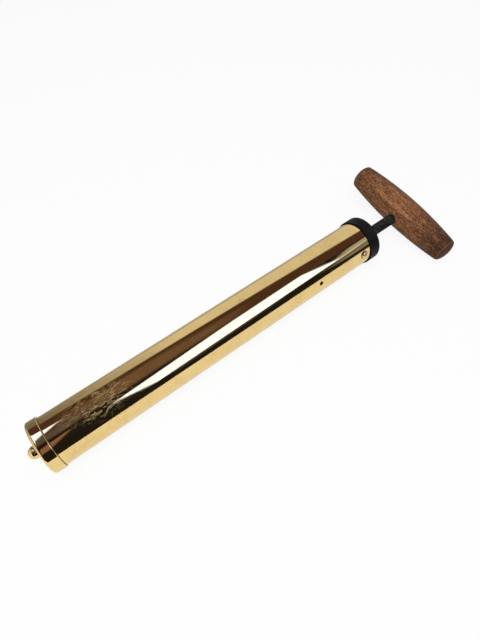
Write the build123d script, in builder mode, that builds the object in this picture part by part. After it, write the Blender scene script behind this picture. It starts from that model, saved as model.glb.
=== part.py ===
"""Brass hand pump with a wooden T-handle, lying on its side, in millimetres.

The pump's axis runs along +X, from the ball nozzle to the T-handle. It lies on the rims of the
end cap and the head plug and on one end of the handle. The origin is under the middle of the
pump, on the surface that it lies on, and +Z is up.
"""

import os
from math import asin, cos, degrees, hypot, radians, sin, sqrt

from build123d import *

# ---- Barrel ----
tube_diameter = 38.1
tube_wall = 1.0
tube_length = 300.0
cap_wall = 1.2
cap_depth = 8.8
cap_corner = 2.2
vent_diameter = 3.0
vent_to_head = 58.4

# ---- Outlet: ball nozzle and check valve ----
nozzle_ball_radius = 4.8
nozzle_ball_stand_off = 3.4
nozzle_outlet_radius = 0.9
nozzle_stem_radius = 2.6
nozzle_stem_grip = 5.0
gasket_thickness = 1.0
valve_body_radius = 8.0
valve_body_length = 16.0
valve_ball_radius = 2.5
valve_seat_radius = 5.0
valve_seat_thickness = 2.5
valve_orifice_radius = 1.6
spring_radius = 1.8
spring_wire_radius = 0.2
spring_turns = 4

# ---- Head ----
head_flange = 10.7
head_corner = 1.0
head_spigot = 15.0
head_screw_inset = 7.9
head_screw_length = 9.0
head_screw_radius = 1.75
screw_head_radius = 3.25
screw_head_height = 2.3
screw_slot_width = 0.9
screw_slot_depth = 1.2
screw_turn = 163.0
bush_wall = 1.75
bush_depth_below_face = 3.0
felt_thickness = 3.0
felt_radius = 9.0
retainer_thickness = 1.0
buffer_thickness = 2.5
buffer_radius = 12.0

# ---- Plunger ----
rod_radius = 4.75
rod_spigot_radius = 3.0
grip_gap = 38.4
nut_across_flats = 10.0
nut_height = 5.0
washer_thickness = 1.2
washer_radius = 7.0

# ---- Piston ----
nut_to_valve = 2.2
hub_radius = 5.5
backing_thickness = 3.0
backing_gap = 3.05
cup_base = 2.5
cup_wall = 2.0
cup_lip = 7.9
cup_corner = 2.5
spreader_thickness = 2.5
hub_tail = 2.0

# ---- Handle ----
handle_body_length = 104.8
handle_end_crown = 4.8
handle_middle_radius = 14.7
handle_end_radius = 11.1
handle_rod_socket = 4.0
handle_nut_pocket_depth = 7.5
handle_nut_pocket_radius = 7.5
rod_end_below_surface = 0.6

# ---- Clearances ----
running_clearance = 0.05
free_clearance = 0.3
swivel_play = 0.2
stroke_spare = 1.0
valve_rest_gap = 0.03

# ---- Radii that follow ----
tube_radius = tube_diameter / 2
bore_radius = tube_radius - tube_wall
backing_radius = bore_radius - backing_gap
rim_radius = tube_radius + cap_wall
axis_height = rim_radius

# ---- Stations along the axis, counted from the nozzle's tip ----
nozzle_projection = nozzle_ball_stand_off + nozzle_ball_radius
length_to_handle = nozzle_projection + cap_wall + tube_length + head_flange + grip_gap
overall_length = length_to_handle + 2 * handle_middle_radius
nozzle_tip = -overall_length / 2
cap_face = nozzle_tip + nozzle_projection
cap_inside = cap_face + cap_wall
cap_lip = cap_face + cap_depth
tube_end = cap_inside + tube_length
head_bottom = tube_end - head_spigot
head_face = tube_end + head_flange
handle_near_side = head_face + grip_gap
handle_station = handle_near_side + handle_middle_radius
handle_far_side = handle_station + handle_middle_radius

valve_base = cap_inside + gasket_thickness
stem_end = valve_base + nozzle_stem_grip
valve_top = valve_base + valve_body_length
seat_face = valve_top - valve_seat_thickness
ball_to_seat = sqrt(valve_ball_radius**2 - valve_orifice_radius**2)
ball_station = seat_face - ball_to_seat - valve_rest_gap

rod_tail = valve_top + nut_to_valve
piston_washer_bottom = rod_tail + nut_height
hub_bottom = piston_washer_bottom + washer_thickness + swivel_play
spreader_bottom = hub_bottom + hub_tail
cup_bottom = spreader_bottom + spreader_thickness
backing_bottom = cup_bottom + cup_base
hub_top = backing_bottom + backing_thickness
rod_shoulder = hub_top + swivel_play

retainer_top = head_bottom + retainer_thickness
felt_top = retainer_top + felt_thickness
bush_top = head_face - bush_depth_below_face
buffer_bottom = head_bottom - buffer_thickness
stroke = buffer_bottom - hub_top - stroke_spare

rod_top_shoulder = handle_near_side + handle_rod_socket
handle_nut_seat = handle_far_side - handle_nut_pocket_depth
rod_end = handle_far_side - rod_end_below_surface

pump_axis = Axis((0, 0, axis_height), (1, 0, 0))
length_plane = Plane(origin=(0, 0, axis_height), x_dir=(1, 0, 0), z_dir=(0, -1, 0))


def station(x):
    """The plane square to the pump's axis at x, facing the handle."""
    return Plane(origin=(x, 0, axis_height), x_dir=(0, 1, 0), z_dir=(1, 0, 0))


def add_ring(bottom, top, outer_radius, inner_radius=0.0, mode=Mode.ADD):
    """A turned disc or ring on the pump's axis, from one station to another."""
    with BuildSketch(station(bottom)) as section:
        Circle(outer_radius)
        if inner_radius:
            Circle(inner_radius, mode=Mode.SUBTRACT)
    extrude(section.sketch, amount=top - bottom, mode=mode)


def add_hex_nut(bottom, top, bore):
    """A hexagon nut on the pump's axis, its corners broken on both faces."""
    corner_radius = nut_across_flats / sqrt(3)
    with BuildSketch(station(bottom)) as section:
        RegularPolygon(corner_radius, 6)
        Circle(bore, mode=Mode.SUBTRACT)
    extrude(section.sketch, amount=top - bottom)
    break_height = corner_radius - nut_across_flats / 2
    with BuildSketch(length_plane) as turned:
        with BuildLine():
            Polyline(
                (bottom, 0),
                (bottom, nut_across_flats / 2),
                (bottom + break_height / 2, corner_radius),
                (top - break_height / 2, corner_radius),
                (top, nut_across_flats / 2),
                (top, 0),
                close=True,
            )
        make_face()
    revolve(turned.sketch, axis=pump_axis, mode=Mode.INTERSECT)


def radial_plane(x, turn):
    """The plane at station x on the pump's axis that faces outwards at an angle from +Y."""
    outwards = (0, cos(radians(turn)), sin(radians(turn)))
    return Plane(origin=(x, 0, axis_height), x_dir=(1, 0, 0), z_dir=outwards)


def handle_tilt():
    """How far the handle dips, in radians, so that one end touches the surface below."""
    tilt = 0.0
    for _ in range(40):
        end_drop = hypot(handle_end_radius * cos(tilt), handle_end_crown * sin(tilt))
        tilt = asin((axis_height - end_drop) / (handle_body_length / 2))
    return tilt


screw_station = tube_end - head_screw_inset
vent_station = tube_end - vent_to_head
screw_turns = (screw_turn, screw_turn + 180)

# ---- Barrel tube: a plain tube with a vent hole and two screw holes ----
with BuildPart() as barrel_tube:
    add_ring(cap_inside, tube_end, tube_radius, bore_radius)
    with BuildSketch(radial_plane(vent_station, screw_turn)):
        Circle(vent_diameter / 2)
    extrude(amount=tube_diameter, mode=Mode.SUBTRACT)
    for turn in screw_turns:
        with BuildSketch(radial_plane(screw_station, turn)):
            Circle(head_screw_radius)
        extrude(amount=tube_diameter, mode=Mode.SUBTRACT)
barrel_tube.part.label = "barrel_tube"

# ---- End cap: a drawn cup over the end of the tube, with a hole for the nozzle's stem ----
with BuildPart() as end_cap:
    add_ring(cap_face, cap_lip, rim_radius)
    fillet(end_cap.faces().sort_by(Axis.X)[0].edges(), cap_corner)
    add_ring(cap_inside, cap_lip, tube_radius, mode=Mode.SUBTRACT)
    add_ring(cap_face, cap_inside, nozzle_stem_radius, mode=Mode.SUBTRACT)
end_cap.part.label = "end_cap"

# ---- Ball nozzle: a ball on the cap's face, its stem through the cap and the gasket ----
with BuildPart() as nozzle:
    ball_centre = cap_face - nozzle_ball_stand_off
    neck_radius = sqrt(nozzle_ball_radius**2 - nozzle_ball_stand_off**2)
    with BuildSketch(length_plane):
        with BuildLine():
            ThreePointArc(
                (nozzle_tip, 0),
                (ball_centre, nozzle_ball_radius),
                (cap_face, neck_radius),
            )
            Polyline(
                (cap_face, neck_radius),
                (cap_face, nozzle_stem_radius),
                (stem_end, nozzle_stem_radius),
                (stem_end, 0),
                (nozzle_tip, 0),
            )
        make_face()
    revolve(axis=pump_axis)
    add_ring(nozzle_tip, stem_end, nozzle_outlet_radius, mode=Mode.SUBTRACT)
nozzle.part.label = "nozzle"

with BuildPart() as cap_gasket:
    add_ring(cap_inside, valve_base, valve_body_radius, nozzle_stem_radius)
cap_gasket.part.label = "cap_gasket"

# ---- Valve body: clamps the nozzle's stem and holds the ball, its spring and its seat ----
chamber_radius = valve_ball_radius + free_clearance
with BuildPart() as valve_body:
    add_ring(valve_base, valve_top, valve_body_radius)
    add_ring(valve_base, stem_end, nozzle_stem_radius, mode=Mode.SUBTRACT)
    add_ring(stem_end, seat_face, chamber_radius, mode=Mode.SUBTRACT)
    add_ring(seat_face, valve_top, valve_seat_radius, mode=Mode.SUBTRACT)
    chamfer(valve_body.faces().sort_by(Axis.X)[-1].outer_wire().edges(), gasket_thickness)
valve_body.part.label = "valve_body"

with BuildPart() as valve_seat:
    add_ring(seat_face, valve_top, valve_seat_radius, valve_orifice_radius)
valve_seat.part.label = "valve_seat"

with BuildPart() as valve_ball:
    with Locations((ball_station, 0, axis_height)):
        Sphere(valve_ball_radius)
valve_ball.part.label = "valve_ball"

# ---- Valve spring: from the stem's end to the ball, its wire clear of both ----
ball_at_spring = ball_station - sqrt(
    valve_ball_radius**2 - (spring_radius - spring_wire_radius) ** 2
)
spring_bottom = stem_end + 1.5 * spring_wire_radius
spring_height = ball_at_spring - 1.5 * spring_wire_radius - spring_bottom
with BuildPart() as valve_spring:
    with BuildLine():
        coil = Helix(
            pitch=spring_height / spring_turns,
            height=spring_height,
            radius=spring_radius,
            center=(spring_bottom, 0, axis_height),
            direction=(1, 0, 0),
        )
    with BuildSketch(Plane(origin=coil @ 0, z_dir=coil % 0)):
        Circle(spring_wire_radius)
    sweep()
valve_spring.part.label = "valve_spring"

# ---- Head plug: a rounded flange over the tube's end and a spigot inside it ----
bush_radius = rod_radius + bush_wall
spigot_radius = bore_radius - running_clearance
with BuildPart() as head_plug:
    add_ring(tube_end, head_face, rim_radius)
    fillet(head_plug.faces().sort_by(Axis.X)[-1].edges(), head_corner)
    add_ring(head_bottom, tube_end, spigot_radius)
    add_ring(head_bottom, felt_top, felt_radius, mode=Mode.SUBTRACT)
    add_ring(felt_top, bush_top, bush_radius, mode=Mode.SUBTRACT)
    add_ring(bush_top, head_face, rod_radius + free_clearance, mode=Mode.SUBTRACT)
    for turn in screw_turns:
        pilot_floor = tube_radius - head_screw_length
        with BuildSketch(radial_plane(screw_station, turn).offset(pilot_floor)):
            Circle(head_screw_radius)
        extrude(amount=tube_diameter, mode=Mode.SUBTRACT)
head_plug.part.label = "head_plug"

with BuildPart() as guide_bush:
    add_ring(felt_top, bush_top, bush_radius, rod_radius + running_clearance)
guide_bush.part.label = "guide_bush"

with BuildPart() as felt_wiper:
    add_ring(retainer_top, felt_top, felt_radius, rod_radius + running_clearance)
felt_wiper.part.label = "felt_wiper"

with BuildPart() as wiper_retainer:
    add_ring(head_bottom, retainer_top, felt_radius, rod_radius + free_clearance)
wiper_retainer.part.label = "wiper_retainer"

with BuildPart() as buffer_washer:
    add_ring(buffer_bottom, head_bottom, buffer_radius, rod_radius + free_clearance)
buffer_washer.part.label = "buffer_washer"

# ---- Head screws: round heads with a slot across the pump, one each side ----
dome_radius = (screw_head_radius**2 + screw_head_height**2) / (2 * screw_head_height)
with BuildPart() as head_screws:
    for turn in screw_turns:
        seat = radial_plane(screw_station, turn).offset(tube_radius)
        with BuildSketch(seat.offset(-head_screw_length)):
            Circle(head_screw_radius)
        extrude(amount=head_screw_length)
        side = Plane(origin=seat.origin, x_dir=seat.x_dir, z_dir=-seat.y_dir)
        with BuildSketch(side):
            with BuildLine():
                RadiusArc((screw_head_radius, 0), (0, screw_head_height), -dome_radius)
                Polyline((0, screw_head_height), (0, 0), (screw_head_radius, 0))
            make_face()
        revolve(axis=Axis(seat.origin, seat.z_dir))
        with BuildSketch(seat.offset(screw_head_height - screw_slot_depth)):
            Rectangle(screw_slot_width, 2 * screw_head_radius)
        extrude(amount=screw_head_height, mode=Mode.SUBTRACT)
head_screws.part.label = "head_screws"

# ---- Plunger rod: a solid rod with a spigot at each end ----
with BuildPart() as plunger_rod:
    add_ring(rod_shoulder, rod_top_shoulder, rod_radius)
    add_ring(rod_tail, rod_shoulder, rod_spigot_radius)
    add_ring(rod_top_shoulder, rod_end, rod_spigot_radius)
plunger_rod.part.label = "plunger_rod"

with BuildPart() as piston_nut:
    add_hex_nut(rod_tail, piston_washer_bottom, rod_spigot_radius)
piston_nut.part.label = "piston_nut"

with BuildPart() as piston_washer:
    washer_top = piston_washer_bottom + washer_thickness
    add_ring(piston_washer_bottom, washer_top, washer_radius, rod_spigot_radius)
piston_washer.part.label = "piston_washer"

# ---- Piston: a hub that turns on the rod's spigot and carries the leather cup ----
with BuildPart() as piston_hub:
    add_ring(hub_bottom, hub_top, hub_radius, rod_spigot_radius + running_clearance)
piston_hub.part.label = "piston_hub"

with BuildPart() as cup_backing:
    add_ring(backing_bottom, hub_top, backing_radius, hub_radius)
    chamfer(cup_backing.faces().sort_by(Axis.X)[-1].outer_wire().edges(), backing_thickness / 3)
cup_backing.part.label = "cup_backing"

cup_radius = bore_radius - running_clearance
cup_inside = cup_radius - cup_wall
with BuildPart() as leather_cup:
    add_ring(cup_bottom - cup_lip, backing_bottom, cup_radius)
    fillet(leather_cup.faces().sort_by(Axis.X)[-1].edges(), cup_corner)
    add_ring(cup_bottom - cup_lip, cup_bottom, cup_inside, mode=Mode.SUBTRACT)
    add_ring(cup_bottom, backing_bottom, hub_radius, mode=Mode.SUBTRACT)
leather_cup.part.label = "leather_cup"

with BuildPart() as cup_spreader:
    add_ring(spreader_bottom, cup_bottom, cup_inside - running_clearance, hub_radius)
cup_spreader.part.label = "cup_spreader"

# ---- T-handle: a turned barrel of wood with crowned ends, across the rod ----
tilt = handle_tilt()
handle_direction = (0, cos(tilt), sin(tilt))
handle_centre = (handle_station, 0, axis_height)
handle_plane = Plane(origin=handle_centre, x_dir=handle_direction, z_dir=(1, 0, 0))
with BuildPart() as t_handle:
    half_body = handle_body_length / 2
    half_length = half_body + handle_end_crown
    # The pull of its inner points that makes a cubic curve a quarter of an ellipse.
    quarter_pull = 4 / 3 * (sqrt(2) - 1)
    with BuildSketch(handle_plane):
        with BuildLine():
            Bezier(
                (-half_body, handle_end_radius),
                (0, 2 * handle_middle_radius - handle_end_radius),
                (half_body, handle_end_radius),
            )
            for side in (-1, 1):
                Bezier(
                    (side * half_body, handle_end_radius),
                    (side * (half_body + quarter_pull * handle_end_crown), handle_end_radius),
                    (side * half_length, quarter_pull * handle_end_radius),
                    (side * half_length, 0),
                )
            Line((-half_length, 0), (half_length, 0))
        make_face()
    revolve(axis=Axis(handle_centre, handle_direction))
    add_ring(
        handle_near_side - handle_middle_radius,
        rod_top_shoulder,
        rod_radius,
        mode=Mode.SUBTRACT,
    )
    add_ring(rod_top_shoulder, handle_nut_seat, rod_spigot_radius, mode=Mode.SUBTRACT)
    add_ring(
        handle_nut_seat,
        handle_far_side + handle_middle_radius,
        handle_nut_pocket_radius,
        mode=Mode.SUBTRACT,
    )
t_handle.part.label = "t_handle"

with BuildPart() as handle_washer:
    handle_washer_top = handle_nut_seat + washer_thickness
    add_ring(handle_nut_seat, handle_washer_top, washer_radius, rod_spigot_radius)
handle_washer.part.label = "handle_washer"

with BuildPart() as handle_nut:
    add_hex_nut(handle_washer_top, handle_washer_top + nut_height, rod_spigot_radius)
handle_nut.part.label = "handle_nut"

pieces = (
    barrel_tube,
    end_cap,
    nozzle,
    cap_gasket,
    valve_body,
    valve_seat,
    valve_ball,
    valve_spring,
    head_plug,
    guide_bush,
    felt_wiper,
    wiper_retainer,
    buffer_washer,
    head_screws,
    plunger_rod,
    piston_nut,
    piston_washer,
    piston_hub,
    cup_backing,
    leather_cup,
    cup_spreader,
    t_handle,
    handle_washer,
    handle_nut,
)

os.makedirs("parts", exist_ok=True)
for piece in pieces:
    export_step(piece.part, f"parts/{piece.part.label}.step")

stations = {
    "nozzle tip": nozzle_tip,
    "cap face": cap_face,
    "cap lip": cap_lip,
    "valve ball": ball_station,
    "piston swivel": rod_shoulder,
    "vent": vent_station,
    "head screws": screw_station,
    "tube end": tube_end,
    "head face": head_face,
    "handle": handle_station,
    "far side": handle_far_side,
}
print("axis height", axis_height, "stroke", round(stroke, 3), "tilt", round(degrees(tilt), 3))
for name, x in stations.items():
    print(name, round(x, 3))
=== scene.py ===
"""Looks of a brass hand pump with a wooden T-handle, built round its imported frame.

Lengths are in metres, angles in degrees unless a name says otherwise. The pump lies along +X,
from the ball nozzle to the T-handle, and its sizes are read from the frame's own nodes.
"""

from __future__ import annotations

import logging
import math
from dataclasses import dataclass, field
from enum import Enum
from typing import Callable, Iterable, Sequence

import bpy
import numpy as np
from mathutils import Matrix, Vector


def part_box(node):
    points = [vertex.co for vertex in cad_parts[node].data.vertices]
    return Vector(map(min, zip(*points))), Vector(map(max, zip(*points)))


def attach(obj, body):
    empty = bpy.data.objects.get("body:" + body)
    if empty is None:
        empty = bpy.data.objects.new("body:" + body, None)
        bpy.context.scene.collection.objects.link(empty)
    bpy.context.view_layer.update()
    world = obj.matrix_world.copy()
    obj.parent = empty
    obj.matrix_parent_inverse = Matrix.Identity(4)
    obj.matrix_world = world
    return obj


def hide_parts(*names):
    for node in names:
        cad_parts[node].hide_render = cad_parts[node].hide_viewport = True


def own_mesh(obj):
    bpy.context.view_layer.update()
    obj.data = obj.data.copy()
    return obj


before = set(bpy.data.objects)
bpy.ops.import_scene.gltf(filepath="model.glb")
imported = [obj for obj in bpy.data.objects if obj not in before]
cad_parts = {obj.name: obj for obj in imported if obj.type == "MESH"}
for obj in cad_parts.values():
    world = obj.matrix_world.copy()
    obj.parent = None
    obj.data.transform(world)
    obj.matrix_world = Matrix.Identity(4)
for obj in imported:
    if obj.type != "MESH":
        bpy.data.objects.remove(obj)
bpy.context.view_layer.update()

log = logging.getLogger("hand_pump")

MM = 0.001
Colour = tuple[float, float, float]
SMOOTH_LIMIT = math.radians(32)


# ---------------------------------------------------------------- outlines and meshes


@dataclass(frozen=True)
class Corner:
    """A corner of a turned piece's outline.

    Args:
        x: Its station along the turning axis.
        r: Its distance from that axis.
        fillet: The radius that rounds it, or 0 for a sharp corner.
    """

    x: float
    r: float
    fillet: float = 0.0


@dataclass(frozen=True)
class TracePoint:
    """A point of a traced outline.

    Args:
        x: Its station along the turning axis.
        r: Its distance from that axis.
        rim: How far it counts as a rounded corner, from 0 to 1.
    """

    x: float
    r: float
    rim: float = 0.0


def fillet_points(before: Corner, corner: Corner, after: Corner, steps: int) -> list[TracePoint]:
    """Rounds one corner, with a holding point beyond each end of the arc.

    Args:
        before: The corner before it.
        corner: The corner to round.
        after: The corner after it.
        steps: How many facets the arc has.

    Returns:
        The points that stand for the corner, in order.
    """
    here = Vector((corner.x, corner.r))
    back = Vector((before.x, before.r)) - here
    ahead = Vector((after.x, after.r)) - here
    back_length, ahead_length = back.length, ahead.length
    back.normalize()
    ahead.normalize()
    half_angle = back.angle(ahead) / 2
    most = 0.45
    reach = min(corner.fillet / math.tan(half_angle), most * back_length, most * ahead_length)
    radius = reach * math.tan(half_angle)
    centre = here + (back + ahead).normalized() * radius / math.sin(half_angle)
    first = here + back * reach - centre
    last = here + ahead * reach - centre
    sweep = first.angle(last)
    hold = 0.25 * reach
    points = [TracePoint(*(here + back * (reach + hold)))]
    for step in range(steps + 1):
        share = step / steps
        spoke = (
            first * math.sin((1 - share) * sweep) + last * math.sin(share * sweep)
        ) / math.sin(sweep)
        points.append(TracePoint(*(centre + spoke), rim=1.0))
    points.append(TracePoint(*(here + ahead * (reach + hold))))
    return points


def trace(corners: Sequence[Corner], closed: bool, steps: int = 6) -> list[TracePoint]:
    """Traces an outline with its rounded corners.

    Args:
        corners: The outline's corners, in order.
        closed: Whether the last corner joins the first.
        steps: How many facets each rounded corner has.

    Returns:
        The outline's points.
    """
    points: list[TracePoint] = []
    count = len(corners)
    for index, corner in enumerate(corners):
        at_end = not closed and index in (0, count - 1)
        if corner.fillet <= 0 or at_end:
            points.append(TracePoint(corner.x, corner.r))
            continue
        before = corners[index - 1]
        after = corners[(index + 1) % count]
        points.extend(fillet_points(before, corner, after, steps))
    return points


def mesh_object(
    name: str, points: Sequence[Vector], faces: Sequence[Sequence[int]], rim: Sequence[float] | None = None
) -> bpy.types.Object:
    """Makes a smooth-shaded mesh object whose hard corners stay sharp.

    Args:
        name: The object's name.
        points: Its vertices.
        faces: Its faces, as vertex numbers.
        rim: How far each vertex lies on a rounded corner, from 0 to 1.

    Returns:
        The new object, linked to the scene.
    """
    mesh = bpy.data.meshes.new(name)
    mesh.from_pydata([tuple(p) for p in points], [], [tuple(f) for f in faces])
    mesh.validate()
    if rim is not None:
        mesh.attributes.new("rim", "FLOAT", "POINT").data.foreach_set("value", list(rim))
    mesh.shade_smooth()
    mesh.set_sharp_from_angle(angle=SMOOTH_LIMIT)
    made = bpy.data.objects.new(name, mesh)
    bpy.context.scene.collection.objects.link(made)
    return made


def turned(
    name: str, outline: Sequence[TracePoint], placing: Matrix, closed: bool = True, segments: int = 192
) -> bpy.types.Object:
    """Turns an outline about the local X axis.

    Args:
        name: The object's name.
        outline: The outline's points, anticlockwise with x to the right and r upwards.
        placing: Where the local frame lies in the row frame.
        closed: Whether the outline is a ring's whole section; otherwise it ends on the axis.
        segments: How many facets go round.

    Returns:
        The turned piece.
    """
    on_axis = 1e-7
    points: list[Vector] = []
    rim: list[float] = []
    rings: list[list[int]] = []
    for mark in outline:
        if mark.r < on_axis:
            points.append(placing @ Vector((mark.x, 0, 0)))
            rim.append(mark.rim)
            rings.append([len(points) - 1] * segments)
            continue
        rings.append(list(range(len(points), len(points) + segments)))
        for step in range(segments):
            turn = 2 * math.pi * step / segments
            spoke = Vector((mark.x, mark.r * math.cos(turn), mark.r * math.sin(turn)))
            points.append(placing @ spoke)
            rim.append(mark.rim)
    faces = []
    pairs = list(zip(rings, rings[1:])) + ([(rings[-1], rings[0])] if closed else [])
    for first, second in pairs:
        for step in range(segments):
            nxt = (step + 1) % segments
            quad = (first[step], first[nxt], second[nxt], second[step])
            face = tuple(dict.fromkeys(quad))
            if len(face) > 2:
                faces.append(face)
    return mesh_object(name, points, faces, rim)


def carved(piece: bpy.types.Object, cutters: Iterable[bpy.types.Object]) -> bpy.types.Object:
    """Cuts other shapes out of a piece and removes them.

    Args:
        piece: The piece to cut.
        cutters: The shapes to take away.

    Returns:
        The piece with its new mesh.
    """
    shapes = list(cutters)
    for shape in shapes:
        cut = piece.modifiers.new("cut", "BOOLEAN")
        cut.operation = "DIFFERENCE"
        cut.solver = "EXACT"
        cut.object = shape
    depsgraph = bpy.context.evaluated_depsgraph_get()
    mesh = bpy.data.meshes.new_from_object(piece.evaluated_get(depsgraph))
    piece.modifiers.clear()
    old = piece.data
    piece.data = mesh
    bpy.data.meshes.remove(old)
    mesh.name = piece.name
    for shape in shapes:
        bpy.data.objects.remove(shape)
    mesh.shade_smooth()
    mesh.set_sharp_from_angle(angle=SMOOTH_LIMIT)
    return piece


def true_round_normals(piece: bpy.types.Object, height: float, radii: Sequence[float]) -> None:
    """Gives a cut tube's round walls the normals of a perfect cylinder along X.

    Args:
        piece: The tube.
        height: The height of its axis.
        radii: The radii of its walls.
    """
    mesh = piece.data
    normals = [Vector(corner.vector) for corner in mesh.corner_normals]
    near, outward = 2e-5, 0.98
    for face in mesh.polygons:
        for loop_index in face.loop_indices:
            place = mesh.vertices[mesh.loops[loop_index].vertex_index].co
            spoke = Vector((0, place.y, place.z - height))
            if min(abs(spoke.length - r) for r in radii) > near:
                continue
            spoke.normalize()
            facing = spoke.dot(face.normal)
            if abs(facing) > outward:
                normals[loop_index] = spoke * math.copysign(1, facing)
    mesh.normals_split_custom_set([tuple(n) for n in normals])


# ---------------------------------------------------------------- shader helpers


class Nodes:
    """A short way to add and join nodes in one node tree."""

    def __init__(self, tree: bpy.types.NodeTree) -> None:
        """Starts on a tree.

        Args:
            tree: The node tree to add to.
        """
        self.tree = tree

    def add(self, kind: str, inputs: dict | None = None, **settings: object) -> bpy.types.Node:
        """Adds a node.

        Args:
            kind: The node's type name, without its ShaderNode prefix.
            inputs: Socket names or numbers, and the value or the output socket for each.
            **settings: The node's own properties.

        Returns:
            The new node.
        """
        node = self.tree.nodes.new("ShaderNode" + kind)
        for key, value in settings.items():
            setattr(node, key, value)
        for key, value in (inputs or {}).items():
            if isinstance(value, bpy.types.NodeSocket):
                self.tree.links.new(value, node.inputs[key])
            else:
                node.inputs[key].default_value = value
        return node

    def math(
        self, operation: str, first: object, second: object = 0.0, clamp: bool = False
    ) -> bpy.types.NodeSocket:
        """Adds a math node.

        Args:
            operation: The operation's name.
            first: A value or an output socket.
            second: A value or an output socket.
            clamp: Whether the result is kept from 0 to 1.

        Returns:
            Its output.
        """
        return self.add("Math", {0: first, 1: second}, operation=operation, use_clamp=clamp).outputs[0]

    def remap(
        self, value: object, low: float, high: float, to_low: float = 0.0, to_high: float = 1.0
    ) -> bpy.types.NodeSocket:
        """Adds a clamped, smooth change of range.

        Args:
            value: A value or an output socket.
            low: Where the range starts.
            high: Where it ends.
            to_low: What its start becomes.
            to_high: What its end becomes.

        Returns:
            Its output.
        """
        inputs = {"Value": value, "From Min": low, "From Max": high, "To Min": to_low, "To Max": to_high}
        return self.add("MapRange", inputs, interpolation_type="SMOOTHSTEP").outputs["Result"]

    def mix(self, factor: object, first: object, second: object) -> bpy.types.NodeSocket:
        """Adds a colour mix.

        Args:
            factor: A value or an output socket.
            first: A colour or an output socket.
            second: A colour or an output socket.

        Returns:
            Its colour output.
        """
        node = self.add("Mix", data_type="RGBA")
        for index, value in ((0, factor), (6, first), (7, second)):
            if isinstance(value, bpy.types.NodeSocket):
                self.tree.links.new(value, node.inputs[index])
            elif index:
                node.inputs[index].default_value = (*value, 1.0)
            else:
                node.inputs[index].default_value = value
        return node.outputs[2]

    def noise(
        self,
        vector: object,
        scale: float,
        detail: float = 3.0,
        roughness: float = 0.5,
        distortion: float = 0.0,
    ) -> bpy.types.NodeSocket:
        """Adds a noise texture.

        Args:
            vector: Where it is read.
            scale: How many cells it has in a metre.
            detail: How many finer layers it has.
            roughness: How strong those are.
            distortion: How far it is warped.

        Returns:
            Its value output.
        """
        inputs = {"Scale": scale, "Detail": detail, "Roughness": roughness, "Distortion": distortion}
        node = self.add("TexNoise", inputs)
        if isinstance(vector, bpy.types.NodeSocket):
            self.tree.links.new(vector, node.inputs["Vector"])
        return node.outputs[0]

    def stretched(
        self, vector: object, scale: Sequence[float], turn: Sequence[float] = (0, 0, 0)
    ) -> bpy.types.NodeSocket:
        """Adds a mapping that turns and stretches a texture's space.

        Args:
            vector: The place to map.
            scale: The stretch along each axis.
            turn: The turn about each axis, in radians.

        Returns:
            Its vector output.
        """
        return self.add("Mapping", {"Vector": vector, "Scale": scale, "Rotation": turn}).outputs[0]


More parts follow.
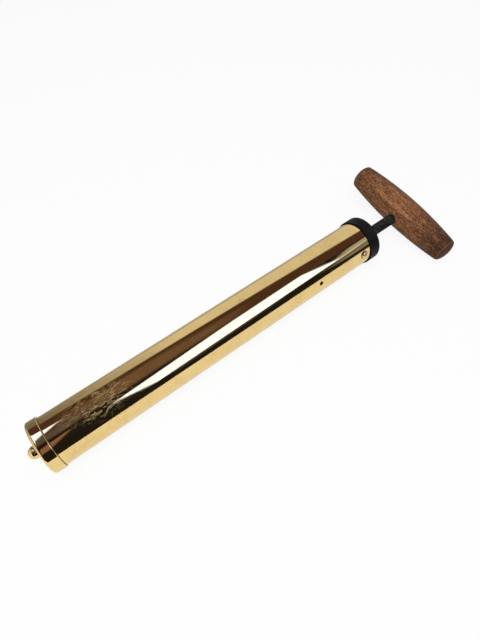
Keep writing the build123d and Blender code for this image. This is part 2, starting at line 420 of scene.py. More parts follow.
class NodeGroups:
    """The effects that several finishes share, each made once."""

    def __init__(self) -> None:
        """Makes every group."""
        self.scratches = self._scratches()
        self.patches = self._patches()
        self.rim_wear = self._rim_wear()
        self.fibres = self._fibres()

    @staticmethod
    def _start(
        name: str, inputs: dict[str, float | None], output: str
    ) -> tuple[Nodes, bpy.types.Node, bpy.types.Node]:
        """Starts a group with its sockets.

        Args:
            name: The group's name.
            inputs: Each input's name and its default, or None for a vector.
            output: The name of its one output, a value.

        Returns:
            The group's nodes, its input node and its output node.
        """
        tree = bpy.data.node_groups.new(name, "ShaderNodeTree")
        for key, default in inputs.items():
            kind = "NodeSocketVector" if default is None else "NodeSocketFloat"
            socket = tree.interface.new_socket(key, in_out="INPUT", socket_type=kind)
            if default is not None:
                socket.default_value = default
        tree.interface.new_socket(output, in_out="OUTPUT", socket_type="NodeSocketFloat")
        return Nodes(tree), tree.nodes.new("NodeGroupInput"), tree.nodes.new("NodeGroupOutput")

    def _scratches(self) -> bpy.types.NodeTree:
        """Fine scratches that cross each other, from a few stretched noises.

        Returns:
            The group, with the output Mask.
        """
        nodes, taken, given = self._start("fine_scratches", {"Vector": None, "Density": 0.5}, "Mask")
        warp = nodes.math("MULTIPLY", nodes.noise(taken.outputs["Vector"], 45, 1), 0.012)
        bent = nodes.add("VectorMath", {0: taken.outputs["Vector"], 1: warp}, operation="ADD")
        found = None
        turns = ((0.3, 0.5, 0.2), (0.9, -0.4, 1.1), (-0.7, 0.8, 2.0), (1.6, 0.2, -0.6))
        for index, turn in enumerate(turns):
            along = nodes.stretched(bent.outputs[0], (900 + 230 * index, 34 + 9 * index, 760), turn)
            streak = nodes.noise(along, 1.0, 1.0, 0.4)
            line = nodes.remap(streak, 0.70, 0.76)
            found = line if found is None else nodes.math("MAXIMUM", found, line)
        thin = nodes.remap(nodes.noise(taken.outputs["Vector"], 70, 2), 0.42, 0.62)
        share = nodes.math("MULTIPLY", found, thin)
        mask = nodes.math("MULTIPLY", share, taken.outputs["Density"], clamp=True)
        nodes.tree.links.new(mask, given.inputs["Mask"])
        return nodes.tree

    def _patches(self) -> bpy.types.NodeTree:
        """Soft uneven patches, as handling and age leave.

        Returns:
            The group, with the output Value.
        """
        nodes, taken, given = self._start("soft_patches", {"Vector": None, "Scale": 40.0}, "Value")
        place, scale = taken.outputs["Vector"], taken.outputs["Scale"]
        inputs = {"Vector": place, "Scale": scale, "Detail": 4.0, "Roughness": 0.55}
        texture = nodes.add("TexNoise", inputs)
        nodes.tree.links.new(nodes.remap(texture.outputs[0], 0.32, 0.68), given.inputs["Value"])
        return nodes.tree

    def _rim_wear(self) -> bpy.types.NodeTree:
        """Wear on a turned piece's rounded corners, broken up by noise.

        Returns:
            The group, with the output Mask.
        """
        nodes, taken, given = self._start("rim_wear", {"Vector": None, "Amount": 0.5}, "Mask")
        rim = nodes.add("Attribute", attribute_name="rim").outputs["Fac"]
        broken = nodes.remap(nodes.noise(taken.outputs["Vector"], 650, 4, 0.65), 0.46, 0.62)
        patchy = nodes.math("MULTIPLY", rim, broken)
        worn = nodes.math("MULTIPLY", patchy, taken.outputs["Amount"], clamp=True)
        nodes.tree.links.new(worn, given.inputs["Mask"])
        return nodes.tree

    def _fibres(self) -> bpy.types.NodeTree:
        """Short fine fibres or grain in every direction.

        Returns:
            The group, with the output Value.
        """
        nodes, taken, given = self._start("short_fibres", {"Vector": None, "Scale": 1500.0}, "Value")
        found = None
        for turn in ((0.4, 0.1, 0.9), (1.3, 0.7, -0.5)):
            along = nodes.stretched(taken.outputs["Vector"], (1.0, 0.25, 1.0), turn)
            inputs = {"Vector": along, "Scale": taken.outputs["Scale"], "Detail": 2.0, "Roughness": 0.6}
            texture = nodes.add("TexNoise", inputs).outputs[0]
            found = texture if found is None else nodes.math("MULTIPLY", found, texture)
        nodes.tree.links.new(nodes.remap(found, 0.12, 0.4), given.inputs["Value"])
        return nodes.tree


@dataclass
class Finish:
    """A finish: a Principled surface that each kind of finish dresses in its own way.

    Args:
        name: The material's name.
        groups: The shared effects.
    """

    name: str
    groups: NodeGroups

    def build(self) -> bpy.types.Material:
        """Makes the material.

        Returns:
            The material.
        """
        material = bpy.data.materials.new(self.name)
        material.use_nodes = True
        material.node_tree.nodes.clear()
        nodes = Nodes(material.node_tree)
        surface = nodes.add("BsdfPrincipled")
        output = nodes.add("OutputMaterial")
        nodes.tree.links.new(surface.outputs[0], output.inputs[0])
        place = nodes.add("TexCoord").outputs["Object"]
        self.dress(nodes, surface, place)
        return material

    def dress(self, nodes: Nodes, surface: bpy.types.Node, place: bpy.types.NodeSocket) -> None:
        """Sets the surface's colour, roughness and relief. Each finish has its own.

        Args:
            nodes: The material's nodes.
            surface: Its Principled surface.
            place: The place on the object, in metres.
        """
        raise NotImplementedError

    def effect(self, nodes: Nodes, group: bpy.types.NodeTree, **values: object) -> bpy.types.NodeSocket:
        """Places a shared effect.

        Args:
            nodes: The material's nodes.
            group: The effect's group.
            **values: Its inputs, as values or sockets.

        Returns:
            Its first output.
        """
        node = nodes.add("Group", node_tree=group)
        for key, value in values.items():
            if isinstance(value, bpy.types.NodeSocket):
                nodes.tree.links.new(value, node.inputs[key])
            else:
                node.inputs[key].default_value = value
        return node.outputs[0]

    def relief(
        self, nodes: Nodes, surface: bpy.types.Node, height: bpy.types.NodeSocket, depth: float
    ) -> None:
        """Raises the surface by a height.

        Args:
            nodes: The material's nodes.
            surface: Its Principled surface.
            height: The height, from 0 to 1.
            depth: How far 1 stands out.
        """
        bump = nodes.add("Bump", {"Height": height, "Distance": depth, "Strength": 1.0})
        nodes.tree.links.new(bump.outputs[0], surface.inputs["Normal"])


@dataclass
class Brass(Finish):
    """Brass, from a mirror polish to a plain turned face.

    Args:
        colour: Its colour where it is clean.
        tarnish: Its colour where it has dulled.
        painted_shade: The colour of the dirt in its corners.
        roughness: Its least and greatest roughness.
        clouds: How many dull clouds it has in a metre.
        specks: How many dull specks it has in a metre.
        dulling: How strongly both dull it.
        scratch: How many fine scratches it carries.
        scratch_blur: How much a scratch adds to its roughness.
        shade_cover: How strongly the painted shade darkens it.
        shade_blur: How much the painted shade adds to its roughness.
        drawn_depth: How deep the waves are that drawing it left.
        scuff_centre: The middle of a scuffed spot, or None.
        scuff_radius: How far that spot reaches along the pump.
        scuff_squeeze: How much narrower it is along each axis.
        scuff_strength: How strong its strokes are in its middle.
        scuff_haze: How far its strokes hide the bare metal.
        sway: How far its strokes wander.
        stroke_turns: The headings of its strokes, in radians.
        scuffed: Its colour in the strokes.
        joint: The station of the joint that a line of painted shade lies beside.
        shade_line: How far beyond the joint the painted shade line's middle lies.
        spots: The places ringed with painted shade, each with its radius.
    """

    colour: Colour = (0.87, 0.65, 0.275)
    tarnish: Colour = (0.62, 0.39, 0.13)
    painted_shade: Colour = (0.05, 0.035, 0.018)
    roughness: tuple[float, float] = (0.035, 0.085)
    clouds: float = 55.0
    specks: float = 420.0
    dulling: float = 0.5
    scratch: float = 0.25
    scratch_blur: float = 0.17
    shade_cover: float = 0.85
    shade_blur: float = 0.4
    drawn_depth: float = 0.02 * MM
    scuff_centre: tuple[float, float, float] | None = None
    scuff_radius: float = 0.033
    scuff_squeeze: tuple[float, float, float] = (1.0, 2.4, 1.6)
    scuff_strength: float = 0.55
    scuff_haze: float = 0.75
    sway: float = 0.012
    stroke_turns: tuple[float, ...] = (0.5, 1.2, -0.5, 2.1, 0.0)
    scuffed: Colour = (0.36, 0.24, 0.105)
    joint: float = -1.0
    shade_line: float = 0.3 * MM
    spots: tuple[tuple[Vector, float], ...] = ()

    def dress(self, nodes: Nodes, surface: bpy.types.Node, place: bpy.types.NodeSocket) -> None:
        """Sets brass with soft dulling, handling scratches, a scuffed spot, and painted shade beside the
        joint and round the screws and the vent hole.
        """
        patches = self.effect(nodes, self.groups.patches, Vector=place, Scale=self.clouds)
        specks = self.effect(nodes, self.groups.patches, Vector=place, Scale=self.specks)
        dull = nodes.math("MULTIPLY", nodes.math("MULTIPLY", patches, specks), self.dulling)
        colour = nodes.mix(dull, self.colour, self.tarnish)
        lines = self.effect(nodes, self.groups.scratches, Vector=place, Density=self.scratch)
        if self.scuff_centre:
            scuff = self._scuff(nodes, place)
            lines = nodes.math("MAXIMUM", lines, scuff)
            bare = nodes.math("SUBTRACT", 1.0, nodes.math("MULTIPLY", scuff, self.scuff_haze))
            nodes.tree.links.new(bare, surface.inputs["Metallic"])
        else:
            surface.inputs["Metallic"].default_value = 1.0
        low, high = self.roughness
        rough = nodes.remap(patches, 0.0, 1.0, low, high)
        colour = nodes.mix(lines, colour, self.scuffed)
        # Painted shade beside the cap's joint and round the screw heads and the vent hole. It darkens the
        # colour and dulls the gloss there.
        corner_shade = nodes.math("MULTIPLY", self._painted_corner_shade(nodes, place), self.shade_cover)
        nodes.tree.links.new(nodes.mix(corner_shade, colour, self.painted_shade), surface.inputs["Base Color"])
        rough = nodes.math("ADD", rough, nodes.math("MULTIPLY", lines, self.scratch_blur))
        rough = nodes.math("ADD", rough, nodes.math("MULTIPLY", corner_shade, self.shade_blur))
        nodes.tree.links.new(rough, surface.inputs["Roughness"])
        drawn = nodes.noise(nodes.stretched(place, (6.0, 60.0, 60.0)), 1.0, 2.0)
        self.relief(nodes, surface, drawn, self.drawn_depth)

    def _painted_corner_shade(self, nodes: Nodes, place: bpy.types.NodeSocket) -> bpy.types.NodeSocket:
        """Painted shade in marked corners, beside the joint and round the spots, where the joint's groove,
        the screw heads and the vent hole would shade.

        Args:
            nodes: The material's nodes.
            place: The place on the object.

        Returns:
            The painted shade, from 0 to 1.
        """
        settled = nodes.add("Attribute", attribute_name="corner_shade").outputs["Fac"]
        settled = nodes.math("MAXIMUM", settled, self._joint_shade(nodes, place))
        for centre, radius in self.spots:
            off = nodes.add("VectorMath", {0: place, 1: centre}, operation="DISTANCE").outputs["Value"]
            inner, outer = radius + 0.3 * self.shade_line, radius + 2.5 * self.shade_line
            settled = nodes.math("MAXIMUM", settled, nodes.remap(off, inner, outer, 1.0, 0.0))
        return settled

    def _joint_shade(self, nodes: Nodes, place: bpy.types.NodeSocket) -> bpy.types.NodeSocket:
        """A thin line of painted shade on the +X side of the joint.

        Args:
            nodes: The material's nodes.
            place: The place on the object.

        Returns:
            The line, from 0 to 1.
        """
        x = nodes.add("SeparateXYZ", {0: place}).outputs["X"]
        off = nodes.math("ABSOLUTE", nodes.math("SUBTRACT", x, self.joint + self.shade_line))
        return nodes.remap(off, 0.6 * self.shade_line, 1.1 * self.shade_line, 1.0, 0.0)

    def _scuff(self, nodes: Nodes, place: bpy.types.NodeSocket) -> bpy.types.NodeSocket:
        """A spot that is scratched over and over with curved strokes, fading outwards.

        Args:
            nodes: The material's nodes.
            place: The place on the object.

        Returns:
            The spot's scratches, from 0 to 1.
        """
        offset = nodes.add("VectorMath", {0: place, 1: self.scuff_centre}, operation="SUBTRACT").outputs[0]
        squeezed = nodes.stretched(offset, self.scuff_squeeze)
        away = nodes.add("VectorMath", {0: squeezed}, operation="LENGTH").outputs["Value"]
        near = nodes.remap(away, 0.35 * self.scuff_radius, self.scuff_radius, self.scuff_strength, 0.0)
        sway = nodes.add("TexNoise", {"Vector": place, "Scale": 45.0, "Detail": 1.0}).outputs["Color"]
        pushed = nodes.add("VectorMath", {0: sway, "Scale": self.sway}, operation="SCALE").outputs[0]
        moved = nodes.add("VectorMath", {0: place, 1: pushed}, operation="ADD").outputs[0]
        found = None
        for index, turn in enumerate(self.stroke_turns):
            along = nodes.stretched(moved, (130.0 + 25 * index, 1250.0 + 150 * index, 60.0), (0, 0, turn))
            stroke = nodes.remap(nodes.noise(along, 1.0, 1.0, 0.4), 0.60, 0.69)
            broken = nodes.remap(nodes.noise(place, 110 + 35 * index, 2), 0.44, 0.60)
            stroke = nodes.math("MULTIPLY", stroke, broken)
            found = stroke if found is None else nodes.math("MAXIMUM", found, stroke)
        return nodes.math("MULTIPLY", found, near)


@dataclass
class SatinBlack(Finish):
    """Satin black, as on a moulding or on blackened metal, worn at its rounded corners.

    Args:
        colour: Its colour.
        worn: What shows where it is worn.
        metal: How metallic the worn places are.
        roughness: Its roughness.
        gloss: How strong its sheen is.
        wear: How worn its corners are.
        mottle: How strongly lighter spots show.
        clouds: How many dusty clouds it has in a metre.
        spots: How many lighter spots it has in a metre.
        pebbles: How many grains its moulded skin has in a metre.
        pebble_depth: How deep they are.
    """

    colour: Colour = (0.0046, 0.0042, 0.0031)
    worn: Colour = (0.05, 0.046, 0.036)
    metal: float = 0.0
    roughness: float = 0.48
    gloss: float = 0.08
    wear: float = 0.5
    mottle: float = 0.0
    clouds: float = 90.0
    spots: float = 520.0
    pebbles: float = 2600.0
    pebble_depth: float = 0.025 * MM

    def dress(self, nodes: Nodes, surface: bpy.types.Node, place: bpy.types.NodeSocket) -> None:
        """Sets black with dusty patches, fine scratches and worn corners."""
        patches = self.effect(nodes, self.groups.patches, Vector=place, Scale=self.clouds)
        lines = self.effect(nodes, self.groups.scratches, Vector=place, Density=0.5)
        worn = self.effect(nodes, self.groups.rim_wear, Vector=place, Amount=self.wear)
        marks = nodes.math("MAXIMUM", worn, nodes.math("MULTIPLY", lines, 0.6))
        dusty = tuple(1.7 * c + 0.002 for c in self.colour)
        spots = nodes.remap(nodes.noise(place, self.spots, 3, 0.6), 0.48, 0.66)
        base = nodes.mix(patches, self.colour, dusty)
        base = nodes.mix(nodes.math("MULTIPLY", spots, self.mottle), base, self.worn)
        nodes.tree.links.new(nodes.mix(marks, base, self.worn), surface.inputs["Base Color"])
        nodes.tree.links.new(nodes.math("MULTIPLY", marks, self.metal), surface.inputs["Metallic"])
        rough = nodes.remap(patches, 0.0, 1.0, self.roughness - 0.06, self.roughness + 0.1)
        nodes.tree.links.new(rough, surface.inputs["Roughness"])
        surface.inputs["Specular IOR Level"].default_value = self.gloss
        pebble = nodes.noise(place, self.pebbles, 2)
        self.relief(nodes, surface, nodes.math("SUBTRACT", pebble, marks), self.pebble_depth)


@dataclass
class OiledWalnut(Finish):
    """Turned walnut with open pores, oiled by hands, darker at its ends from handling and painted shade.

    Args:
        along: The turn that lays the grain along X.
        dark: The colour of its dark growth.
        mid: Its main colour.
        light: The colour of its light growth.
        pore: The colour inside its pores.
        band_size: How many growth bands it has in a metre, along and across.
        streak_size: The same for its fine streaks.
        fleck_size: The same for its flecks.
        pore_size: The same for its pores.
        pore_depth: How deep its pores are.
        gloss: How strong its sheen is.
        low_end: How dark its lower end is made, partly by handling and partly by painted shade.
        high_end: How dark its raised end is made, partly by handling and partly by painted shade.
        reach: From its middle to its ends.
    """

    along: Matrix = field(default_factory=Matrix)
    dark: Colour = (0.085, 0.031, 0.013)
    mid: Colour = (0.215, 0.086, 0.034)
    light: Colour = (0.42, 0.195, 0.087)
    pore: Colour = (0.045, 0.016, 0.008)
    band_size: tuple[float, float, float] = (9.0, 85.0, 85.0)
    streak_size: tuple[float, float, float] = (110.0, 1050.0, 1050.0)
    fleck_size: tuple[float, float, float] = (560.0, 1150.0, 1150.0)
    pore_size: tuple[float, float, float] = (240.0, 1500.0, 1500.0)
    pore_depth: float = 0.09 * MM
    gloss: float = 0.12
    low_end: float = 0.62
    high_end: float = 0.34
    reach: float = 0.056

    def dress(self, nodes: Nodes, surface: bpy.types.Node, place: bpy.types.NodeSocket) -> None:
        """Sets walnut: broad growth bands, fine streaks, flecks and pores along the grain, with painted shade
        towards the ends and on the crowns, and a painted highlight round each crown.
        """
        local = nodes.stretched(place, (1, 1, 1), tuple(self.along.to_euler()))
        bands = nodes.noise(nodes.stretched(local, self.band_size), 1.0, 3, 0.55, 0.6)
        streaks = nodes.noise(nodes.stretched(local, self.streak_size), 1.0, 3, 0.6, 0.3)
        flecks = nodes.noise(nodes.stretched(local, self.fleck_size), 1.0, 3, 0.75, 0.5)
        fine = nodes.math("ADD", nodes.math("MULTIPLY", streaks, 0.28), nodes.math("MULTIPLY", flecks, 0.50))
        tone = nodes.math("ADD", nodes.math("MULTIPLY", bands, 0.22), fine)
        ramp = nodes.add("ValToRGB", {"Fac": tone})
        stops = ramp.color_ramp.elements
        stops[0].position, stops[0].color = 0.43, (*self.dark, 1)
        stops[1].position, stops[1].color = 0.58, (*self.light, 1)
        middle = stops.new(0.5)
        middle.color = (*self.mid, 1)
        cells = nodes.noise(nodes.stretched(local, self.pore_size), 1.0, 2, 0.5)
        pores = nodes.remap(cells, 0.585, 0.66)
        colour = nodes.mix(nodes.math("MULTIPLY", pores, 0.75), ramp.outputs[0], self.pore)
        # Darker towards both ends, partly from handling and partly as painted shade.
        colour = nodes.mix(self._end_shade_and_handling(nodes, local), colour, (0.0, 0.0, 0.0))
        nodes.tree.links.new(self._crown_shade_and_highlight(nodes, colour), surface.inputs["Base Color"])
        patches = self.effect(nodes, self.groups.patches, Vector=place, Scale=60.0)
        rough = nodes.math("ADD", nodes.remap(patches, 0, 1, 0.46, 0.62), nodes.math("MULTIPLY", pores, 0.2))
        nodes.tree.links.new(rough, surface.inputs["Roughness"])
        surface.inputs["Specular IOR Level"].default_value = self.gloss
        height = nodes.math("SUBTRACT", nodes.math("MULTIPLY", streaks, 0.35), pores)
        self.relief(nodes, surface, height, self.pore_depth)

    def _crown_shade_and_highlight(self, nodes: Nodes, colour: bpy.types.NodeSocket) -> bpy.types.NodeSocket:
        """Paints shade on the two crowns and a highlight along the edge round each.

        Args:
            nodes: The material's nodes.
            colour: The wood's colour.

        Returns:
            Its colour with both.
        """
        rim = nodes.add("Attribute", attribute_name="rim").outputs["Fac"]
        # Painted shade darkens each crown, and a painted highlight lightens the edge round it.
        crown = nodes.remap(rim, 0.0, 0.5, 0.0, 0.5)
        edge = nodes.remap(rim, 0.80, 0.93, 0.0, 0.3)
        return nodes.mix(edge, nodes.mix(crown, colour, self.dark), self.light)

    def _end_shade_and_handling(self, nodes: Nodes, local: bpy.types.NodeSocket) -> bpy.types.NodeSocket:
        """How far the wood darkens towards its two ends, partly from handling and partly as painted shade.

        Args:
            nodes: The material's nodes.
            local: The place on the handle, with X along it.

        Returns:
            The darkening, from 0 to 1.
        """
        x = nodes.add("SeparateXYZ", {0: local}).outputs["X"]
        low = nodes.remap(x, 0.0, -self.reach, 0.0, self.low_end)
        high = nodes.remap(x, 0.2 * self.reach, self.reach, 0.0, self.high_end)
        return nodes.math("ADD", low, high)


@dataclass
class SoftFibre(Finish):
    """Leather, felt, fibre or rubber: a soft surface with grain.

    Args:
        light: Its lighter colour.
        dark: The colour between its fibres.
        grain: How many grains it has in a metre.
        depth: How deep they are.
        roughness: Its roughness.
    """

    light: Colour = (0.35, 0.19, 0.09)
    dark: Colour = (0.16, 0.08, 0.035)
    grain: float = 1500.0
    depth: float = 8e-5
    roughness: float = 0.6

    def dress(self, nodes: Nodes, surface: bpy.types.Node, place: bpy.types.NodeSocket) -> None:
        """Sets a grained, slightly patchy soft surface."""
        fibres = self.effect(nodes, self.groups.fibres, Vector=place, Scale=self.grain)
        patches = self.effect(nodes, self.groups.patches, Vector=place, Scale=130.0)
        colour = nodes.mix(fibres, self.dark, self.light)
        aged = tuple(0.7 * c for c in self.light)
        nodes.tree.links.new(
            nodes.mix(nodes.math("MULTIPLY", patches, 0.4), colour, aged), surface.inputs["Base Color"]
        )
        rough = nodes.remap(fibres, 0.0, 1.0, self.roughness + 0.12, self.roughness - 0.08)
        nodes.tree.links.new(rough, surface.inputs["Roughness"])
        self.relief(nodes, surface, fibres, self.depth)


@dataclass
class BrightSteel(Finish):
    """Bright steel, slightly brushed.

    Args:
        colour: Its colour.
    """

    colour: Colour = (0.62, 0.61, 0.59)

    def dress(self, nodes: Nodes, surface: bpy.types.Node, place: bpy.types.NodeSocket) -> None:
        """Sets steel with fine scratches and uneven gloss."""
        patches = self.effect(nodes, self.groups.patches, Vector=place, Scale=300.0)
        lines = self.effect(nodes, self.groups.scratches, Vector=place, Density=0.5)
        darker = tuple(0.6 * c for c in self.colour)
        surface.inputs["Metallic"].default_value = 1.0
        nodes.tree.links.new(nodes.mix(patches, self.colour, darker), surface.inputs["Base Color"])
        rough = nodes.math("ADD", nodes.remap(patches, 0, 1, 0.16, 0.3), nodes.math("MULTIPLY", lines, 0.3))
        nodes.tree.links.new(rough, surface.inputs["Roughness"])
        self.relief(nodes, surface, lines, 1e-5)


class Slot(Enum):
    """The record's material slots, one finish each."""

    POLISHED_BRASS = "polished_brass"
    TURNED_BRASS = "turned_brass"
    BRASS_SCREW = "brass_screw"
    BLACK_MOULDING = "black_moulding"
    BLACK_ROD = "black_rod"
    OILED_WALNUT = "oiled_walnut"
    CUP_LEATHER = "cup_leather"
    FELT = "felt"
    FIBRE = "fibre"
    BUFFER_RUBBER = "buffer_rubber"
    SPRING_STEEL = "spring_steel"


# ---------------------------------------------------------------- the pump


@dataclass(frozen=True)
class Extent:
    """Where a round node lies.

    Args:
        start: Its lowest station along X.
        end: Its highest station along X.
        radius: Its outer radius.
    """

    start: float
    end: float
    radius: float

    @classmethod
    def of(cls, node: str) -> Extent:
        """Reads a node's extent from the frame.

        Args:
            node: The node's name.

        Returns:
            Its extent.
        """
        low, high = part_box(node)
        return cls(low.x, high.x, (high.y - low.y) / 2)


@dataclass
class Pump:
    """What every sub-assembly shares.

    Args:
        finishes: The material for each slot.
        height: The height of the pump's axis.
    """

    finishes: dict[Slot, bpy.types.Material]
    height: float = field(init=False)

    def __post_init__(self) -> None:
        """Reads the axis's height from the tube."""
        low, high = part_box("barrel_tube")
        self.height = (low.z + high.z) / 2

    @property
    def axis(self) -> Matrix:
        """The placing of the pump's axis in the row frame."""
        return Matrix.Translation((0, 0, self.height))

    def settle(self, piece: bpy.types.Object, body: str, slot: Slot, *nodes: str) -> bpy.types.Object:
        """Dresses a piece, rides it on its body and lets it stand for its nodes.

        Args:
            piece: The piece.
            body: The body that it moves with.
            slot: Its finish.
            *nodes: The nodes that it stands for.

        Returns:
            The piece.
        """
        piece.data.materials.clear()
        piece.data.materials.append(self.finishes[slot])
        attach(piece, body)
        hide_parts(*nodes)
        log.info("%s stands for %s on %s", piece.name, ", ".join(nodes), body)
        return piece

    def keep(self, slot: Slot, *nodes: str) -> None:
        """Dresses nodes that keep their own shape.

        Args:
            slot: Their finish.
            *nodes: The nodes' names.
        """
        for node in nodes:
            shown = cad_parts[node]
            shown.data.materials.clear()
            shown.data.materials.append(self.finishes[slot])
            log.info("%s keeps its shape", node)

    def ring(
        self, name: str, extent: Extent, bore: float, fillet: float, segments: int = 160
    ) -> bpy.types.Object:
        """Turns a plain ring with rounded corners on the pump's axis.

        Args:
            name: The piece's name.
            extent: Where it lies and its outer radius.
            bore: Its inner radius.
            fillet: How far its corners are rounded.
            segments: How many facets go round.

        Returns:
            The ring.
        """
        corners = [
            Corner(extent.start, bore, fillet),
            Corner(extent.end, bore, fillet),
            Corner(extent.end, extent.radius, fillet),
            Corner(extent.start, extent.radius, fillet),
        ]
        return turned(name, trace(corners, True), self.axis, segments=segments)


@dataclass
class Barrel(Pump):
    """The tube, its end cap, the ball nozzle and the check valve behind it.

    Args:
        wall: The tube's wall.
        cap_corner: The rounding of the end cap's face.
        lip: The rounding of the cap's open lip and of the tube's end.
        stem: The radius of the nozzle's stem.
        outlet: The radius of the nozzle's outlet.
        ball_stand_off: How far the ball's centre stands off the cap's face.
        vent: The vent hole's radius.
        vent_to_head: From the vent hole to the tube's end.
        vent_turn: The vent hole's turn from +Y towards +Z.
        spring_wire: The radius of the valve spring's wire.
        spring_turns: How many turns that spring has.
        valve_lift: How far the valve's ball lifts at its joint's limit. Not used.
    """

    wall: float = 1.0 * MM
    cap_corner: float = 2.2 * MM
    lip: float = 0.4 * MM
    stem: float = 2.6 * MM
    outlet: float = 0.9 * MM
    ball_stand_off: float = 3.4 * MM
    vent: float = 1.5 * MM
    vent_to_head: float = 58.4 * MM
    vent_turn: float = 163.0
    spring_wire: float = 0.2 * MM
    spring_turns: int = 4
    valve_lift: float = 1.5 * MM

    def build(self) -> None:
        """Makes the barrel's pieces."""
        self._tube()
        self._cap()
        self._nozzle()
        self.keep(Slot.FIBRE, "cap_gasket")
        self.keep(Slot.TURNED_BRASS, "valve_body", "valve_seat")
        self._spring()
        self.keep(Slot.SPRING_STEEL, "valve_ball")

    def _tube(self) -> None:
        """The tube, with rounded ends and a vent hole broken at its edge."""
        tube = Extent.of("barrel_tube")
        bore = tube.radius - self.wall
        piece = self.ring("brass_tube", tube, bore, 0.3 * self.wall, segments=256)
        turn = math.radians(self.vent_turn)
        outwards = Vector((0, math.cos(turn), math.sin(turn)))
        foot = Vector((tube.end - self.vent_to_head, 0, self.height))
        placing = Matrix.Translation(foot) @ outwards.to_track_quat("X", "Z").to_matrix().to_4x4()
        broken_edge = 0.25 * MM
        reach = 2 * MM
        drill = [
            Corner(bore - reach, 0),
            Corner(bore - reach, self.vent),
            Corner(tube.radius - broken_edge, self.vent),
            Corner(tube.radius + reach, self.vent + broken_edge + reach),
            Corner(tube.radius + reach, 0),
        ]
        carved(piece, [turned("drill", trace(drill, False), placing, closed=False, segments=48)])
        true_round_normals(piece, self.height, (tube.radius, bore))
        self.settle(piece, "barrel", Slot.POLISHED_BRASS, "barrel_tube")

    def _cap(self) -> None:
        """The drawn end cap: a rounded face, a straight skirt and an open rolled lip."""
        cap = Extent.of("end_cap")
        tube = Extent.of("barrel_tube")
        edge = 0.1 * MM
        corners = [
            Corner(cap.start, self.stem, edge),
            Corner(tube.start, self.stem, edge),
            Corner(tube.start, tube.radius),
            Corner(cap.end, tube.radius, 0.5 * self.lip),
            Corner(cap.end, cap.radius, self.lip),
            Corner(cap.start, cap.radius, self.cap_corner),
        ]
        piece = turned("drawn_end_cap", trace(corners, True, 10), self.axis, segments=256)
        self.settle(piece, "barrel", Slot.POLISHED_BRASS, "end_cap")

    def _nozzle(self) -> None:
        """The ball nozzle, a turned ball on a short neck, with its outlet drilled through."""
        nozzle = Extent.of("nozzle")
        face = Extent.of("end_cap").start
        radius = nozzle.radius
        centre = face - self.ball_stand_off
        outline = [
            TracePoint(nozzle.end, self.outlet),
            TracePoint(nozzle.end, self.stem),
            TracePoint(face, self.stem),
        ]
        neck = math.sqrt(radius**2 - self.ball_stand_off**2)
        steps = 40
        first = math.atan2(neck, self.ball_stand_off)
        mouth_edge = 0.25 * MM
        last = math.pi - math.asin((self.outlet + mouth_edge) / radius)
        for step in range(steps + 1):
            turn = first + (last - first) * step / steps
            outline.append(TracePoint(centre + radius * math.cos(turn), radius * math.sin(turn)))
        mouth = centre - math.sqrt(radius**2 - (self.outlet + mouth_edge) ** 2)
        outline.append(TracePoint(mouth + mouth_edge, self.outlet, 1.0))
        piece = turned("ball_nozzle", outline, self.axis, segments=128)
        self.settle(piece, "barrel", Slot.POLISHED_BRASS, "nozzle")

    def _spring(self) -> None:
        """The valve's spring: a coil of wire along its node, from its fixed end to the ball."""
        spring = Extent.of("valve_spring")
        radius = spring.radius - self.spring_wire
        start = spring.start + self.spring_wire
        rise = spring.end - self.spring_wire - start
        steps, sides = 160, 12
        points: list[Vector] = []
        faces: list[tuple[int, ...]] = [tuple(reversed(range(sides)))]
        for step in range(steps + 1):
            turn = 2 * math.pi * self.spring_turns * step / steps
            spoke = Vector((0, math.cos(turn), math.sin(turn)))
            centre = Vector((start + rise * step / steps, 0, self.height)) + spoke * radius
            round_axis = Vector((0, -math.sin(turn), math.cos(turn))) * radius
            ahead = round_axis + Vector((rise / (2 * math.pi * self.spring_turns), 0, 0))
            aside = ahead.normalized().cross(spoke)
            first = len(points)
            for side in range(sides):
                angle = 2 * math.pi * side / sides
                outwards = spoke * math.cos(angle) + aside * math.sin(angle)
                points.append(centre + outwards * self.spring_wire)
                if step:
                    after = (side + 1) % sides
                    faces.append((first - sides + side, first - sides + after, first + after, first + side))
        faces.append(tuple(range(len(points) - sides, len(points))))
        piece = mesh_object("valve_coil", points, faces)
        self.settle(piece, "barrel", Slot.SPRING_STEEL, "valve_spring")
        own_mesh(piece)


